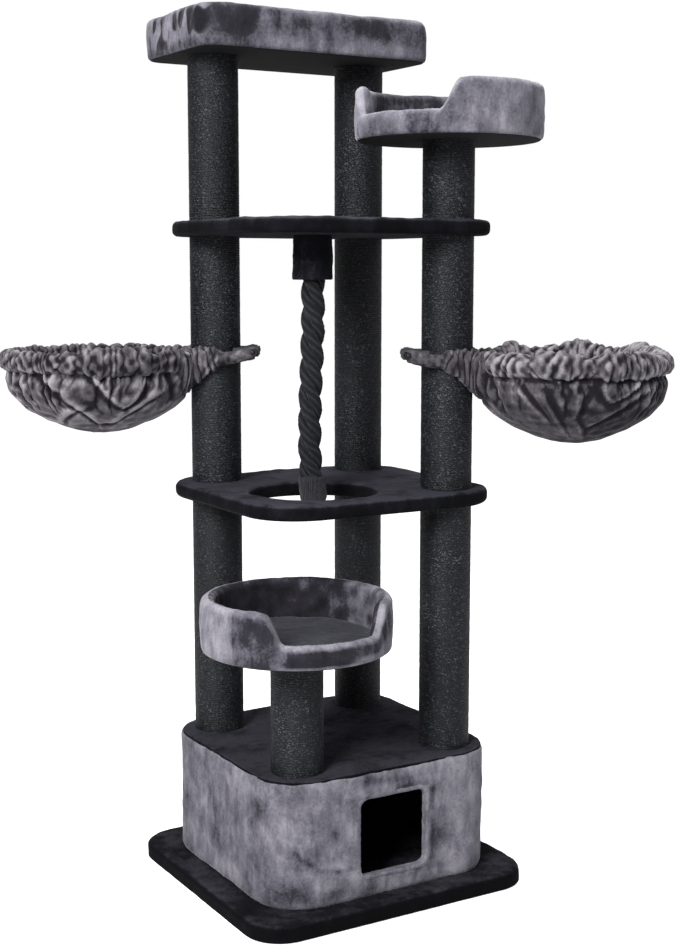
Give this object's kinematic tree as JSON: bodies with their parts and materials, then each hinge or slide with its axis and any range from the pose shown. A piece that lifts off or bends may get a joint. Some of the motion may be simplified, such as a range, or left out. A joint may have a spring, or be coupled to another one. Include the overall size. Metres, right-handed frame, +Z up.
{
  "type": "cat tree",
  "caption": "Tall floor-standing cat tree with a house, sisal posts, two platforms, beds, side hammocks that swivel round their posts and a hanging rope.",
  "frame": {"origin": "middle of the underside of the base, on the floor", "axes": "+Z up, -Y out of the house doorway, +X to the right seen from the doorway side"},
  "size_m": [1.356, 1.15, 2.048],
  "materials": {
    "sisal": "black sisal cord wound tight, slightly glossy",
    "black_plush": "short black plush",
    "grey_plush": "crushed grey plush, brushed in patches",
    "black_felt": "thin black non-woven cloth",
    "cushion_plush": "flat dark grey plush",
    "foam": "upholstery foam on a bent strip",
    "cardboard_tube": "spiral wound cardboard",
    "board": "raw particle board",
    "rope": "black laid cotton rope",
    "rope_wrap": "black woven wrapping",
    "steel": "zinc plated steel"
  },
  "bodies": {
    "tree": {"back_post_lower_sisal": "sisal", "back_post_middle_sisal": "sisal", "back_post_upper_sisal": "sisal", "base_board": "board", "base_felt": "black_felt", "base_plush": "black_plush", "bed_bolts": "steel", "bed_undersides": "black_felt", "doorway_trim": "grey_plush", "house_battens": "board", "house_plush": "grey_plush", "house_roof_board": "board", "house_roof_plush": "black_plush", "house_wall": "board", "joining_studs": "steel", "left_post_lower_sisal": "sisal", "left_post_middle_sisal": "sisal", "left_post_upper_sisal": "sisal", "lower_bed_board": "board", "lower_bed_cushion": "cushion_plush", "lower_bed_rim_foam": "foam", "lower_bed_rim_plush": "grey_plush", "middle_platform_board": "board", "middle_platform_plush": "black_plush", "post_end_plugs": "board", "post_tubes": "cardboard_tube", "right_bed_board": "board", "right_bed_cushion": "cushion_plush", "right_bed_rim_foam": "foam", "right_bed_rim_plush": "grey_plush", "right_post_lower_sisal": "sisal", "right_post_middle_sisal": "sisal", "right_post_upper_sisal": "sisal", "roof_bolts": "steel", "rope_screw_eye": "steel", "rope_sleeve_plush": "black_plush", "rope_sleeve_tube": "cardboard_tube", "short_post_sisal": "sisal", "top_bed_board": "board", "top_bed_cushion": "cushion_plush", "top_bed_rim_foam": "foam", "top_bed_rim_plush": "grey_plush", "upper_platform_board": "board", "upper_platform_plush": "black_plush"},
    "left_hammock": {"left_hammock_frame": "steel", "left_hammock_arm_covers": "grey_plush", "left_hammock_clamp_block": "board", "left_hammock_clamp_bolt": "steel", "left_hammock_bag": "grey_plush"},
    "right_hammock": {"right_hammock_frame": "steel", "right_hammock_arm_covers": "grey_plush", "right_hammock_clamp_block": "board", "right_hammock_clamp_bolt": "steel", "right_hammock_bag": "grey_plush"},
    "rope_link": {"rope_link": "steel"},
    "rope": {"rope": "rope", "rope_cap": "steel", "rope_end_wrap": "rope_wrap"}
  },
  "joints": [
    {"name": "left_hammock_swivel", "type": "hinge", "parent": "tree", "child": "left_hammock", "pos_m": [-0.2, 0.198, 1.25], "axis": [0, 0, 1], "range_deg": [-95, 70]},
    {"name": "right_hammock_swivel", "type": "hinge", "parent": "tree", "child": "right_hammock", "pos_m": [0.2, -0.198, 1.25], "axis": [0, 0, 1], "range_deg": [-100, 65]},
    {"name": "rope_swing_front_back", "type": "hinge", "parent": "tree", "child": "rope_link", "pos_m": [-0.09, -0.08, 1.51], "axis": [1, 0, 0], "range_deg": [-5.5, 5.5]},
    {"name": "rope_swing_sideways", "type": "hinge", "parent": "rope_link", "child": "rope", "pos_m": [-0.09, -0.08, 1.4938], "axis": [0, 1, 0], "range_deg": [-5.5, 5.5]}
  ]
}
